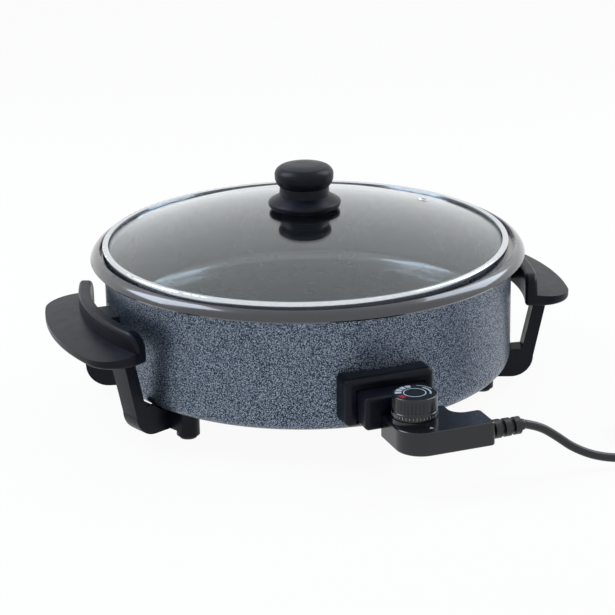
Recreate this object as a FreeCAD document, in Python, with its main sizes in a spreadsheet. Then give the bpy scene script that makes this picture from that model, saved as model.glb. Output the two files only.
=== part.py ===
"""Electric skillet: round deep pan, glass lift-off lid, two legged handles, plug-in heat control.

Millimetres, +Z up. The origin is on the pan's axis, on the surface that the feet stand on.
The heat control plugs in on the -Y side and the two handles lie on +X and -X.
"""
import FreeCAD, Part
import Sketcher
import math
import os
import re

Vector = FreeCAD.Vector
Rotation = FreeCAD.Rotation
Placement = FreeCAD.Placement

doc = FreeCAD.newDocument("skillet")
dims = doc.addObject("Spreadsheet::Sheet", "dims")

# Driving sizes, in millimetres unless the name says otherwise.
SIZES = {
    # pan and lip
    "body_radius": 197, "lip_overhang": 13, "lip_width": 9.2, "lip_fall": 3.5, "rim_height": 150,
    "lip_drop": 8.5, "lip_edge_thick": 1.4, "seat_depth": 6, "seat_step": 2, "pan_gap": 7.5,
    "pan_wall": 2.8, "pan_depth": 80, "pan_floor_thick": 4, "pan_corner": 12, "lip_round": 1.2,
    # painted body
    "body_sheet": 1.2, "base_height": 30, "base_corner": 13, "fit_gap": 0.3,
    # base fixing
    "stud_radius": 3, "nut_across": 13, "nut_thick": 5, "washer_radius": 14, "washer_thick": 1.5,
    # heating element
    "element_inset": 72, "element_tube": 8, "element_bend": 15, "pin_spacing": 44,
    "pin_diameter": 5, "pin_length": 24, "pin_inset": 17, "clamp_half": 17,
    "clamp_thick": 1.5, "clamp_screw_radius": 2, "clamp_slot": 84,
    # probe
    "probe_drop": 4.5, "probe_diameter": 6, "probe_length": 93, "sleeve_wall": 1,
    "sleeve_lead": 12, "sleeve_inset": 1, "probe_clear": 0.3,
    # shroud
    "shroud_left": 46.5, "shroud_right": 40, "shroud_below": 19.5, "shroud_above": 26.5,
    "shroud_depth": 17, "shroud_wall": 3, "shroud_seat": 2.6, "shroud_round": 6,
    "shroud_window": 56, "shroud_screw_radius": 1.75, "shroud_screw_at": 33,
    "shroud_screw_drop": 9, "nose_play": 0.5,
    # handles
    "grip_gap": 14, "grip_wall": 12, "grip_reach": 33, "grip_low": 84, "grip_thick": 7.5,
    "grip_swell": 4, "ridge_rise": 17.5, "grip_half_angle": 25, "grip_corner": 30,
    "ridge_end": 17, "ridge_round": 3.5, "leg_angle": 20, "leg_width_angle": 5.6,
    "leg_flare": 9, "leg_foot_in": 2, "leg_foot_out": 3, "elbow_low": 8, "elbow_high": 37,
    "elbow_round": 22, "arm_gap": 0.5, "arm_reach": 34, "foot_angle": 27, "foot_inset": 27,
    "foot_post_radius": 11, "toe_angle": 9, "toe_reach": 18, "pad_radius": 9, "pad_thick": 3,
    "pad_rim": 1, "boss_width": 34, "boss_lift": 4, "boss_tall": 18, "handle_screw_radius": 2,
    "handle_screw_spacing": 20, "screw_head_radius": 4, "screw_head_thick": 2.4,
    # lid
    "lid_shift": -2, "glass_play": 5.4, "glass_lift": 0.4, "dome_rise": 34.6, "glass_thick": 4,
    "band_play": 2.8, "band_width": 5.6, "band_stand": 4.6, "band_sheet": 1.6, "knob_hole": 4.5,
    "vent_inset": 57, "vent_hole": 3.2, "vent_angle": 11.5, "vent_flange": 6.2,
    "vent_flange_thick": 0.8, "vent_wall": 0.8,
    # knob
    "knob_height": 42, "knob_skirt": 35, "knob_neck": 23.7, "knob_cap": 28.2, "knob_gap": 0.3,
    "lid_screw_radius": 2.5, "lid_screw_head": 5.5, "lid_washer": 12, "lid_washer_thick": 1.2,
    "lid_seal": 14, "lid_seal_thick": 2,
    # control casing
    "nose_left": 36, "nose_right": 30, "nose_half_tall": 15.5, "nose_out": 22, "nose_round": 4,
    "nose_grip": 11, "case_below": 22.5, "case_base_tall": 9, "case_cover_tall": 13,
    "case_left": 22, "case_right": 38, "tail_setback": 23, "tail_width": 34, "tail_length": 25.5,
    "case_wall": 2.4, "case_corner": 24, "case_inner_corner": 12, "tail_corner": 4,
    "case_edge": 2, "dial_at_x": 1, "dial_inset": 22, "dial_radius": 20, "dial_lift": 5,
    "dial_tall": 20, "collar_rim": 1.5, "shaft_radius": 2.9, "shaft_play": 0.1,
    "dial_flute": 0.7, "dial_flutes": 36, "dial_top_round": 1.6,
    "case_screw_radius": 1.75,
    # control inside
    "socket_wall": 1.2, "socket_length": 17, "frame_thick": 1.2, "frame_width": 26,
    "frame_length": 30, "blade_width": 6, "blade_thick": 0.8, "contact_radius": 2.2,
    "contact_thick": 1.5, "spring_rim": 2.1, "spring_wire": 0.9,
    # mains lead
    "cord_diameter": 8, "relief_length": 34, "relief_rib": 4.6, "relief_skin": 0.9,
    "relief_ribs": 3, "relief_lift": 9.5, "relief_inset": 14, "coil_radius": 44,
    "coil_turns": 4, "cord_gap": 0.8, "coil_lift": 1.6, "coil_out": 204.5, "coil_set": 31,
    "tie_thick": 1, "tie_width": 9, "tie_clear": 0.4, "plug_radius": 18, "plug_length": 36,
    "plug_neck": 7, "plug_neck_length": 26, "plug_pin_radius": 2.4, "plug_pin_length": 19,
    "plug_pin_spacing": 19, "tail_run": 16,
}


# Places that follow another size by a named step.
FOLLOW = {
    "lip_radius": "body_radius + lip_overhang",
    "lip_edge_radius": "lip_radius - lip_width",
    "lip_crown_radius": "lip_radius - lip_fall",
    "seat_radius": "lip_edge_radius - seat_step",
    "pan_inside_radius": "body_radius - pan_gap",
    "pan_floor_height": "rim_height - pan_depth",
    "probe_z": "pan_floor_height - pan_floor_thick - probe_drop",
    "element_radius": "body_radius - element_inset",
    "clamp_inner": "element_radius - clamp_half",
    "clamp_outer": "element_radius + clamp_half",
    "pin_root": "body_radius - pin_inset",
    "probe_reach": "body_radius - probe_length",
    "sleeve_start": "probe_reach - sleeve_lead",
    "sleeve_end": "body_radius - sleeve_inset",
    "shroud_low": "probe_z - shroud_below",
    "shroud_high": "probe_z + shroud_above",
    "shroud_face": "body_radius + shroud_depth",
    "shroud_back": "body_radius + shroud_seat",
    "nose_low": "probe_z - nose_half_tall",
    "nose_high": "probe_z + nose_half_tall",
    "nose_front": "shroud_face + nose_out",
    "nose_into": "shroud_face - nose_grip",
    "case_low": "probe_z - case_below",
    "case_split": "case_low + case_base_tall",
    "case_high": "case_split + case_cover_tall",
    "case_back": "nose_front + fit_gap",
    "case_inner": "nose_front + tail_setback",
    "case_front": "case_inner + tail_width",
    "tail_end": "case_right + tail_length",
    "dial_at_y": "nose_front + dial_inset",
    "dial_low": "case_high + dial_lift",
    "dial_high": "dial_low + dial_tall",
    "dial_bore": "shaft_radius + shaft_play",
    "collar_radius": "dial_radius + collar_rim",
    "spring_radius": "shaft_radius + spring_rim",
    "relief_at_y": "case_front - relief_inset",
    "relief_height": "case_low + relief_lift",
    "relief_neck": "cord_diameter / 2 + relief_skin",
    "relief_radius": "cord_diameter / 2 + relief_rib",
    "coil_step": "cord_diameter + cord_gap",
    "coil_at_x": "tail_end + coil_out",
    "coil_at_y": "relief_at_y - coil_set",
    "grip_wall_inner": "body_radius + grip_gap",
    "grip_wall_outer": "grip_wall_inner + grip_wall",
    "grip_outer": "grip_wall_outer + grip_reach",
    "grip_edge_high": "grip_low + grip_thick",
    "grip_root_high": "grip_edge_high + grip_swell",
    "ridge_height": "grip_root_high + ridge_rise",
    "boss_low": "grip_low + boss_lift",
    "boss_high": "boss_low + boss_tall",
    "arm_end": "body_radius - arm_reach",
    "foot_radius_at": "body_radius - foot_inset",
    "glass_radius": "seat_radius - glass_play",
    "glass_edge_height": "rim_height + glass_lift",
    "glass_apex": "glass_edge_height + dome_rise",
    "vent_across": "body_radius - vent_inset",
    "band_outer": "seat_radius - band_play",
    "band_inner": "band_outer - band_width",
    "band_high": "rim_height + band_stand",
}
NODES = []
CLOCKWISE = {}


def fill_sheet():
    """Write every driving size to the sheet as a plain number, then the places that follow."""
    for row, (name, value) in enumerate(list(SIZES.items()) + list(FOLLOW.items()), start=1):
        dims.set(f"A{row}", name)
        dims.set(f"B{row}", f"={value}" if name in FOLLOW else str(value))
        dims.setAlias(f"B{row}", name)
        doc.recompute()


def bound(text):
    """Turn size names in an expression into references to the sheet."""
    def refer(found):
        name = found.group()
        return "dims." + name if name in SIZES or name in FOLLOW else name
    return re.sub(r"[a-z][a-z_]*", refer, str(text))


def size(text):
    """Number that an expression of size names has now."""
    return float(dims.evalExpression(bound(text)))


def drive(thing, **fields):
    """Bind fields of an object to expressions of size names."""
    for field, text in fields.items():
        thing.setExpression(field, bound(text))
    return thing



def node(thing, label, place=None):
    """Give a finished sub-part its name and place, and list it for export."""
    thing.Label = label
    if place is not None:
        thing.Placement = place
    doc.recompute()
    NODES.append(thing)
    return thing


def new_body(label, place=None):
    body = doc.addObject("PartDesign::Body", label)
    return node(body, label, place)


def outline(body, name, role, points, lift=0, turn=0):
    """Closed sketch on one of the body's origin planes, every corner bound to the sheet.

    A point is (across, up) or (across, up, mid_across, mid_up) for an arc that arrives there.
    """
    sketch = body.newObject("Sketcher::SketchObject", name)
    plane = [p for p in body.Origin.OriginFeatures if p.Role == role][0]
    sketch.AttachmentSupport = (plane, [""])
    sketch.MapMode = "FlatFace"
    axis = Vector(0, 1, 0) if role == "XZ_Plane" else Vector(0, 0, 1)
    sketch.AttachmentOffset = Placement(Vector(0, 0, size(lift)), Rotation(axis, size(turn)))
    if lift:
        drive(sketch, **{"AttachmentOffset.Base.z": lift})
    spots = [Vector(size(p[0]), size(p[1]), 0) for p in points]
    count = len(points)
    for i in range(count):
        arrive = points[(i + 1) % count]
        start, stop = spots[i], spots[(i + 1) % count]
        if len(arrive) == 4:
            middle = Vector(size(arrive[2]), size(arrive[3]), 0)
            sketch.addGeometry(Part.Arc(start, middle, stop))
        else:
            sketch.addGeometry(Part.LineSegment(start, stop))
    for i in range(count):
        join_corner(sketch, i, (i + 1) % count)
    for i in range(count):
        pin_point(sketch, i, start_of(sketch, i), points[i][0], points[i][1])
        arrive = points[(i + 1) % count]
        if len(arrive) == 4:
            guide = sketch.addGeometry(Part.Point(Vector(size(arrive[2]), size(arrive[3]), 0)), True)
            pin_point(sketch, guide, 1, arrive[2], arrive[3])
            sketch.addConstraint(Sketcher.Constraint("PointOnObject", guide, 1, i))
    return sketch


def start_of(sketch, index):
    """Vertex number where a side starts; a clockwise arc is stored the other way round."""
    edge = sketch.Geometry[index]
    if edge.TypeId == "Part::GeomArcOfCircle":
        return CLOCKWISE.get((sketch.Name, index), 1)
    return 1


def join_corner(sketch, first, second):
    """Join the end of one side to the start of the next, whichever way an arc is stored."""
    best = None
    for a in (1, 2):
        for b in (1, 2):
            gap = sketch.getPoint(first, a).distanceToPoint(sketch.getPoint(second, b))
            if best is None or gap < best[0] - 1e-7:
                best = (gap, a, b)
    CLOCKWISE[(sketch.Name, second)] = best[2]
    sketch.addConstraint(Sketcher.Constraint("Coincident", first, best[1], second, best[2]))


def pin_point(sketch, index, vertex, across, up):
    """Hold a vertex at its place by two distances from the sketch's origin."""
    for kind, text in (("DistanceX", across), ("DistanceY", up)):
        spot = size(text)
        if abs(spot) < 1e-9:
            line = -2 if kind == "DistanceX" else -1
            sketch.addConstraint(Sketcher.Constraint("PointOnObject", index, vertex, line))
            continue
        sign = 1 if spot > 0 else -1
        ends = (-1, 1, index, vertex) if sign > 0 else (index, vertex, -1, 1)
        number = sketch.addConstraint(Sketcher.Constraint(kind, *ends, abs(spot)))
        text = bound(text) if sign > 0 else f"-({bound(text)})"
        sketch.setExpression(f"Constraints[{number}]", text)


def spin(body, points, angle="360", turn=0, name="profile"):
    """Revolve a closed outline about the body's upright axis."""
    sketch = outline(body, f"{body.Label}_{name}", "XZ_Plane", points, turn=turn)
    feature = body.newObject("PartDesign::Revolution", f"{body.Label}_{name}_spin")
    feature.Profile = sketch
    feature.ReferenceAxis = (sketch, ["V_Axis"])
    feature.Midplane = True
    drive(feature, Angle=angle)
    sketch.Visibility = False
    doc.recompute()
    return feature


def pad(body, points, low, high, name="slab"):
    """Pad a closed plan outline from one height to another."""
    sketch = outline(body, f"{body.Label}_{name}", "XY_Plane", points, lift=low)
    feature = body.newObject("PartDesign::Pad", f"{body.Label}_{name}_pad")
    feature.Profile = sketch
    drive(feature, Length=f"({high}) - ({low})")
    doc.recompute()
    return feature


def pocket(body, points, low, high, name="hollow"):
    """Cut a closed plan outline out between two heights."""
    before = body.Shape.Volume
    sketch = outline(body, f"{body.Label}_{name}", "XY_Plane", points, lift=low)
    feature = body.newObject("PartDesign::Pocket", f"{body.Label}_{name}_cut")
    feature.Profile = sketch
    feature.Reversed = True
    drive(feature, Length=f"({high}) - ({low})")
    doc.recompute()
    if body.Shape.Volume > before - 1e-6:
        raise RuntimeError(f"{body.Label} {name} cut nothing")
    return feature


def round_edges(body, radius, wanted, name="rounding"):
    """Fillet every edge of the body's tip that the test picks."""
    tip = body.Tip
    edges = [f"Edge{i}" for i, edge in enumerate(tip.Shape.Edges, start=1) if wanted(edge)]
    if not edges:
        raise RuntimeError(f"{body.Label} {name} found no edge")
    feature = body.newObject("PartDesign::Fillet", f"{body.Label}_{name}")
    feature.Base = (tip, edges)
    drive(feature, Radius=radius)
    doc.recompute()
    return feature


def ring_at(radius, height):
    """Test for circular edges of a radius at a height."""
    across, up = size(radius), size(height)

    def test(edge):
        curve = edge.Curve
        return (curve.TypeId == "Part::GeomCircle" and abs(curve.Radius - across) < 0.05
                and abs(curve.Center.z - up) < 0.05)
    return test


def upright_at(spots):
    """Test for upright edges at plan points."""
    plan = [(size(x), size(y)) for x, y in spots]

    def test(edge):
        a, b = edge.Vertexes[0].Point, edge.Vertexes[-1].Point
        if abs(a.x - b.x) + abs(a.y - b.y) > 0.01 or abs(a.z - b.z) < 0.1:
            return False
        return any(math.hypot(a.x - x, a.y - y) < 0.05 for x, y in plan)
    return test


def solid(kind, name, place=None, **fields):
    """Part primitive with its sizes bound; place is (x, y, z) expressions."""
    thing = drive(doc.addObject(f"Part::{kind}", name), **fields)
    if place:
        drive(thing, **{"Placement.Base.x": place[0], "Placement.Base.y": place[1],
                        "Placement.Base.z": place[2]})
    return thing


def block(name, low, high):
    """Box from its lowest corner to its highest."""
    spans = [f"({b}) - ({a})" for a, b in zip(low, high)]
    return solid("Box", name, low, Length=spans[0], Width=spans[1], Height=spans[2])


def rod(name, radius, length, place, axis=None):
    """Cylinder that starts at a place and runs along +Z, or along another axis."""
    thing = solid("Cylinder", name, place, Radius=radius, Height=length)
    if axis is not None:
        thing.Placement = Placement(thing.Placement.Base, Rotation(Vector(0, 0, 1), axis))
        drive(thing, **{"Placement.Base.x": place[0], "Placement.Base.y": place[1],
                        "Placement.Base.z": place[2]})
    return thing


def cut(name, base, tool):
    thing = doc.addObject("Part::Cut", name)
    thing.Base, thing.Tool = base, tool
    doc.recompute()
    return thing


def fuse(name, *things):
    thing = doc.addObject("Part::MultiFuse", name)
    thing.Shapes = list(things)
    doc.recompute()
    return thing


def group(name, *things):
    """Identical small pieces that share one node, as separate solids."""
    thing = doc.addObject("Part::Compound", name)
    thing.Links = list(things)
    doc.recompute()
    return thing


def shaped(label, shape):
    """Sub-part whose shape comes from the sheet's sizes by a formula."""
    thing = doc.addObject("Part::Feature", label)
    thing.Shape = shape
    return node(thing, label)


fill_sheet()


def make_pan():
    """Drawn aluminium vessel: floor, wall, seat for the lid and the flared lip, one piece."""
    pan = new_body("pan")
    lip_low = "rim_height - lip_drop"
    spin(pan, [
        ("0", "pan_floor_height - pan_floor_thick"),
        ("pan_inside_radius + pan_wall", "pan_floor_height - pan_floor_thick"),
        ("pan_inside_radius + pan_wall", lip_low + " - lip_edge_thick"),
        ("lip_radius - 1", lip_low + " - lip_edge_thick"),
        ("lip_radius", lip_low),
        ("lip_edge_radius + 1", "rim_height", "lip_crown_radius", "rim_height - lip_drop / 3"),
        ("lip_edge_radius", "rim_height - 0.6"),
        ("seat_radius", "rim_height - seat_depth"),
        ("pan_inside_radius", "rim_height - seat_depth"),
        ("pan_inside_radius", "pan_floor_height + pan_corner"),
        ("pan_inside_radius - pan_corner", "pan_floor_height",
         "pan_inside_radius - pan_corner * 0.293", "pan_floor_height + pan_corner * 0.293"),
        ("0", "pan_floor_height"),
    ])
    round_edges(pan, "lip_round", ring_at("pan_inside_radius", "rim_height - seat_depth"))


def make_shell():
    """Hammer-finish outer shell with a rounded foot and a window behind the socket."""
    shell = new_body("body_shell_blank")
    NODES.pop()
    inner = "body_radius - body_sheet"
    turn = "base_corner * 0.293"
    inset = "body_sheet + (base_corner - body_sheet) * 0.293"
    spin(shell, [
        ("stud_radius + fit_gap", "base_height"),
        ("body_radius - base_corner", "base_height"),
        ("body_radius", "base_height + base_corner",
         f"body_radius - {turn}", f"base_height + {turn}"),
        ("body_radius", "rim_height - lip_drop - lip_edge_thick - fit_gap"),
        (inner, "rim_height - lip_drop - lip_edge_thick - fit_gap"),
        (inner, "base_height + base_corner"),
        ("body_radius - base_corner", "base_height + body_sheet",
         f"body_radius - ({inset})", f"base_height + {inset}"),
        ("stud_radius + fit_gap", "base_height + body_sheet"),
    ])
    window = block("socket_window", ("-shroud_window / 2", "-body_radius - 5", "shroud_low + 6"),
                   ("shroud_window / 2", "-body_radius + 20", "shroud_high - 12"))
    mid = "(boss_low + boss_high) / 2"
    holes = [rod(f"shell_handle_hole_{n}", "handle_screw_radius", "body_radius * 2 + 20",
                 ("-body_radius - 10", f"{side} * handle_screw_spacing / 2", mid), Vector(1, 0, 0))
             for n, side in enumerate((1, -1))]
    holes += [rod(f"shell_shroud_hole_{n}", "shroud_screw_radius", "60",
                  (f"{side} * shroud_screw_at", "-pin_root", "shroud_high - shroud_screw_drop"), Vector(0, -1, 0))
              for n, side in enumerate((1, -1))]
    node(cut("body_shell", shell, fuse("shell_openings", window, *holes)), "body_shell")


def make_base_fixing():
    """Stud under the pan's floor, with the nut and washer that hold the shell to the pan."""
    top = "pan_floor_height - pan_floor_thick"
    low = "base_height - washer_thick - nut_thick - 2"
    node(rod("pan_stud", "stud_radius", f"{top} - ({low})", ("0", "0", low)), "pan_stud")
    ring = rod("washer_disc", "washer_radius", "washer_thick", ("0", "0", "base_height - washer_thick"))
    hole = rod("washer_hole", "stud_radius", "washer_thick", ("0", "0", "base_height - washer_thick"))
    node(cut("base_washer", ring, hole), "base_washer")
    place = ("0", "0", "base_height - washer_thick - nut_thick")
    hexagon = solid("Prism", "nut_hex", place, Circumradius="nut_across / 1.732", Height="nut_thick")
    thread = rod("nut_thread", "stud_radius", "nut_thick", place)
    node(cut("base_nut", hexagon, thread), "base_nut")


def element_path(height):
    """Centre line of the element: two straight ends, two bends and the long way round."""
    ring, bend, half = size("element_radius"), size("element_bend"), size("pin_spacing / 2")
    end = -size("pin_root")
    across = half + bend
    down = -math.sqrt((ring + bend) ** 2 - across ** 2)
    touch = Vector(across, down, 0) * (ring / (ring + bend))
    middle = Vector(across, down, 0) + (Vector(half, down, 0) + touch
                                        - Vector(across, down, 0) * 2).normalize() * bend
    lift = Vector(0, 0, height)

    def mirror(v):
        return Vector(-v.x, v.y, v.z)
    corner = Vector(half, down, 0)
    start = Vector(half, end, 0)
    pieces = [
        Part.LineSegment(start + lift, corner + lift),
        Part.Arc(corner + lift, middle + lift, touch + lift),
        Part.Arc(touch + lift, Vector(0, ring, 0) + lift, mirror(touch) + lift),
        Part.Arc(mirror(touch) + lift, mirror(middle) + lift, mirror(corner) + lift),
        Part.LineSegment(mirror(corner) + lift, mirror(start) + lift),
    ]
    return Part.Wire([p.toShape() for p in pieces])


def pipe(path, radius):
    """Round tube of a radius along a smooth wire."""
    edge = path.OrderedEdges[0]
    start = edge.valueAt(edge.FirstParameter)
    along = edge.tangentAt(edge.FirstParameter)
    if edge.Orientation == "Reversed":
        start, along = edge.valueAt(edge.LastParameter), edge.tangentAt(edge.LastParameter) * -1
    ring = Part.Wire([Part.Circle(start, along, radius).toShape()])
    return path.makePipeShell([ring], True, False)


def make_element():
    """Sheathed element under the pan's floor, with its clamp ring, screws and terminal pins."""
    height = size("probe_z")
    shaped("heating_element", pipe(element_path(height), size("element_tube / 2")))
    under = "probe_z - element_tube / 2"
    clamp = new_body("element_clamp_blank")
    NODES.pop()
    spin(clamp, [("clamp_inner", f"{under} - clamp_thick"), ("clamp_outer", f"{under} - clamp_thick"),
                 ("clamp_outer", under), ("clamp_inner", under)])
    slot = block("clamp_slot_block", ("-clamp_slot / 2", "-clamp_outer - 2", f"{under} - 5"),
                 ("clamp_slot / 2", "-80", f"{under} + 5"))
    spots = (("clamp_outer - 7", "0"), ("-clamp_outer + 7", "0"), ("0", "clamp_outer - 7"))
    low = f"{under} - clamp_thick - 3"
    top = "pan_floor_height - pan_floor_thick"
    screws, holes = [], []
    for number, (x, y) in enumerate(spots):
        head = rod(f"clamp_head_{number}", "clamp_screw_radius * 2", "3", (x, y, low))
        shank = rod(f"clamp_shank_{number}", "clamp_screw_radius - 0.1", f"{top} - ({low})", (x, y, low))
        screws.append(fuse(f"clamp_screw_{number}", head, shank))
        holes.append(rod(f"clamp_hole_{number}", "clamp_screw_radius", "12", (x, y, f"{under} - 6")))
    node(cut("element_clamp", clamp, fuse("clamp_openings", slot, *holes)), "element_clamp")
    node(group("clamp_screws", *screws), "clamp_screws")
    pins = [rod(f"terminal_pin_{n}", "pin_diameter / 2", "pin_length",
                (f"{side} * pin_spacing / 2", "-pin_root", "probe_z"), Vector(0, -1, 0))
            for n, side in enumerate((1, -1))]
    node(group("terminal_pins", *pins), "terminal_pins")


def make_probe_sleeve():
    """Blind guide tube under the pan's floor that the control's probe slides into."""
    bore = "probe_diameter / 2 + probe_clear"
    length = "sleeve_end - sleeve_start"
    tube = rod("sleeve_tube", f"{bore} + sleeve_wall", length, ("0", "-sleeve_start", "probe_z"),
               Vector(0, -1, 0))
    hole = rod("sleeve_bore", bore, length, ("0", "-sleeve_start - 2", "probe_z"), Vector(0, -1, 0))
    node(cut("probe_sleeve", tube, hole), "probe_sleeve")
    low = f"probe_z + {bore} + sleeve_wall"
    node(block("sleeve_rib", ("-3", "-150", low), ("3", "-110", "pan_floor_height - pan_floor_thick")),
         "sleeve_rib")


def make_shroud():
    """Socket housing on the shell: open towards -Y, its back plate holds pins and sleeve."""
    outer = block("shroud_outer", ("-shroud_left", "-shroud_face", "shroud_low"),
                  ("shroud_right", "-shroud_back + 12", "shroud_high"))
    soft = doc.addObject("Part::Fillet", "shroud_softened")
    soft.Base = outer
    doc.recompute()
    face = size("-shroud_face")
    radius = size("shroud_round")
    soft.Edges = [(i, radius, radius) for i, e in enumerate(outer.Shape.Edges, start=1)
                  if min(v.Point.y for v in e.Vertexes) < face + 0.01]
    inner = block("shroud_inner", ("-shroud_left + shroud_wall", "-shroud_face + shroud_wall",
                                   "shroud_low + shroud_wall"),
                  ("shroud_right - shroud_wall", "-shroud_back - 1.5", "shroud_high - shroud_wall"))
    mouth = block("shroud_mouth", ("-nose_left - nose_play", "-shroud_face - 5", "nose_low - nose_play"),
                  ("nose_right + nose_play", "-shroud_face + shroud_wall + 1",
                   "nose_high + nose_play"))
    round_body = rod("shroud_fit", "body_radius + fit_gap", "shroud_high + 20", ("0", "0", "0"))
    ports = [rod(f"shroud_port_{n}", "pin_diameter / 2 + 0.2", "60",
                 (x, "-pin_root", "probe_z"), Vector(0, -1, 0))
             for n, x in enumerate(("pin_spacing / 2", "-pin_spacing / 2"))]
    ports.append(rod("shroud_port_probe", "probe_diameter / 2 + 1.2", "60",
                     ("0", "-pin_root", "probe_z"), Vector(0, -1, 0)))
    holes = [rod(f"shroud_screw_hole_{n}", "shroud_screw_radius", "shroud_back + 3 - pin_root",
                 (x, "-pin_root", "shroud_high - shroud_screw_drop"), Vector(0, -1, 0))
             for n, x in enumerate(("shroud_screw_at", "-shroud_screw_at"))]
    tools = fuse("shroud_tools", inner, mouth, round_body, *ports, *holes)
    node(cut("socket_shroud", soft, tools), "socket_shroud")
    screws = []
    for n, x in enumerate(("shroud_screw_at", "-shroud_screw_at")):
        head = rod(f"shroud_head_{n}", "shroud_screw_radius * 1.8", "1.6",
                   (x, "-shroud_back - 1.5", "shroud_high - shroud_screw_drop"), Vector(0, -1, 0))
        shank = rod(f"shroud_shank_{n}", "shroud_screw_radius - 0.1",
                    "shroud_back + 1.5 - pan_inside_radius - pan_wall",
                    (x, "-pan_inside_radius - pan_wall", "shroud_high - shroud_screw_drop"),
                    Vector(0, -1, 0))
        screws.append(fuse(f"shroud_screw_{n}", head, shank))
    node(group("shroud_screws", *screws), "shroud_screws")


def make_handle(label, turn):
    """One moulding: a broad grip wing, an upright wall, two legs, two arms and two feet."""
    handle = new_body(label)
    spin(handle, [
        ("grip_wall_inner", "grip_low"), ("grip_outer", "grip_low"),
        ("grip_outer", "grip_edge_high"), ("grip_wall_outer", "grip_root_high"),
        ("grip_wall_outer", "ridge_height"), ("grip_wall_inner", "ridge_height"),
    ], angle="2 * grip_half_angle", name="grip")
    outer, wall = size("grip_outer"), size("grip_wall_outer")
    low, top = size("grip_low"), size("ridge_height")

    def across(edge):
        return [math.hypot(v.Point.x, v.Point.y) for v in edge.Vertexes]

    def at_height(edge, height):
        return all(abs(v.Point.z - height) < 0.01 for v in edge.Vertexes)
    round_edges(handle, "grip_corner", lambda e: e.Curve.TypeId == "Part::GeomLine"
                and all(abs(r - outer) < 0.1 for r in across(e)), "corner")
    round_edges(handle, "grip_thick / 2 - 0.4", lambda e: e.Curve.TypeId == "Part::GeomCircle"
                and at_height(e, low) and all(r > wall + 3 for r in across(e)), "wing_edge")
    round_edges(handle, "ridge_end", lambda e: e.Curve.TypeId == "Part::GeomLine"
                and at_height(e, top), "ridge_ends")
    round_edges(handle, "ridge_round", lambda e: e.Curve.TypeId == "Part::GeomCircle"
                and at_height(e, top), "ridge")
    leg = [
        ("grip_wall_inner + leg_flare", "grip_low + 3"),
        ("grip_wall_inner - leg_foot_in", "elbow_high"),
        ("body_radius + 2", "elbow_high - 0.5"),
        ("body_radius - base_corner * 0.5", "base_height - arm_gap"),
        ("arm_end", "base_height - arm_gap"),
        ("arm_end", "elbow_low"),
        ("grip_wall_outer - leg_foot_out - elbow_round", "elbow_low"),
        ("grip_wall_outer - leg_foot_out", "elbow_low + elbow_round",
         "grip_wall_outer - leg_foot_out - elbow_round * 0.293", "elbow_low + elbow_round * 0.293"),
        ("grip_wall_outer + leg_flare", "grip_low + 3"),
    ]
    toe = [("arm_end", "elbow_low"), ("arm_end + toe_reach", "elbow_low"),
           ("arm_end + toe_reach", "base_height - arm_gap"), ("arm_end", "base_height - arm_gap")]
    legs = spin(handle, leg, angle="leg_width_angle", turn="leg_angle", name="leg")
    toes = spin(handle, toe, angle="toe_angle", turn="(leg_angle + foot_angle) / 2", name="toe")
    x = "foot_radius_at * cos(foot_angle)"
    y = "foot_radius_at * sin(foot_angle)"
    post = handle.newObject("Sketcher::SketchObject", f"{label}_foot_sketch")
    plane = [p for p in handle.Origin.OriginFeatures if p.Role == "XY_Plane"][0]
    post.AttachmentSupport = (plane, [""])
    post.MapMode = "FlatFace"
    drive(post, **{"AttachmentOffset.Base.z": "pad_thick"})
    post.addGeometry(Part.Circle(Vector(size(x), size(y), 0), Vector(0, 0, 1), size("foot_post_radius")))
    pin_point(post, 0, 3, x, y)
    radius = post.addConstraint(Sketcher.Constraint("Radius", 0, size("foot_post_radius")))
    post.setExpression(f"Constraints[{radius}]", bound("foot_post_radius"))
    foot = handle.newObject("PartDesign::Pad", f"{label}_foot")
    foot.Profile = post
    drive(foot, Length="base_height - arm_gap - pad_thick")
    doc.recompute()
    both = handle.newObject("PartDesign::Mirrored", f"{label}_second_leg")
    both.Originals = [legs, toes, foot]
    both.MirrorPlane = ([p for p in handle.Origin.OriginFeatures if p.Role == "XZ_Plane"][0], [""])
    handle.Tip = both
    doc.recompute()
    handle.Placement = Placement(Vector(0, 0, 0), Rotation(Vector(0, 0, 1), turn))


def make_handle_fixings(label, turn):
    """Boss plate between shell and handle wall, with the two screws that hold the handle."""
    spin_place = Placement(Vector(0, 0, 0), Rotation(Vector(0, 0, 1), turn))
    slab = block(f"{label}_slab", ("body_radius - 6", "-boss_width / 2", "boss_low"),
                 ("grip_wall_inner + 4", "boss_width / 2", "boss_high"))
    shell = rod(f"{label}_shell_round", "body_radius + 0.05", "rim_height", ("0", "0", "0"))
    wall = rod(f"{label}_wall_round", "grip_wall_inner - 0.05", "rim_height", ("0", "0", "0"))
    inside = doc.addObject("Part::Common", f"{label}_inside")
    inside.Base, inside.Tool = slab, wall
    holes = []
    screws = []
    for n, y in enumerate(("handle_screw_spacing / 2", "-handle_screw_spacing / 2")):
        mid = "(boss_low + boss_high) / 2"
        holes.append(rod(f"{label}_hole_{n}", "handle_screw_radius", "40", ("body_radius - 10", y, mid),
                         Vector(1, 0, 0)))
        head = rod(f"{label}_head_{n}", "screw_head_radius", "screw_head_thick",
                   ("body_radius - body_sheet - screw_head_thick - 0.8", y, mid), Vector(1, 0, 0))
        shank = rod(f"{label}_shank_{n}", "handle_screw_radius - 0.1",
                    "grip_wall_inner - body_radius + body_sheet + 0.4", ("body_radius - body_sheet - 1", y, mid),
                    Vector(1, 0, 0))
        screws.append(fuse(f"{label}_screw_{n}", head, shank))
    bored = cut(f"{label}_bored", inside, fuse(f"{label}_tools", shell, *holes))
    node(bored, f"{label}_boss", spin_place)
    node(group(f"{label}_screw_pair", *screws), f"{label}_screws", spin_place)


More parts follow.
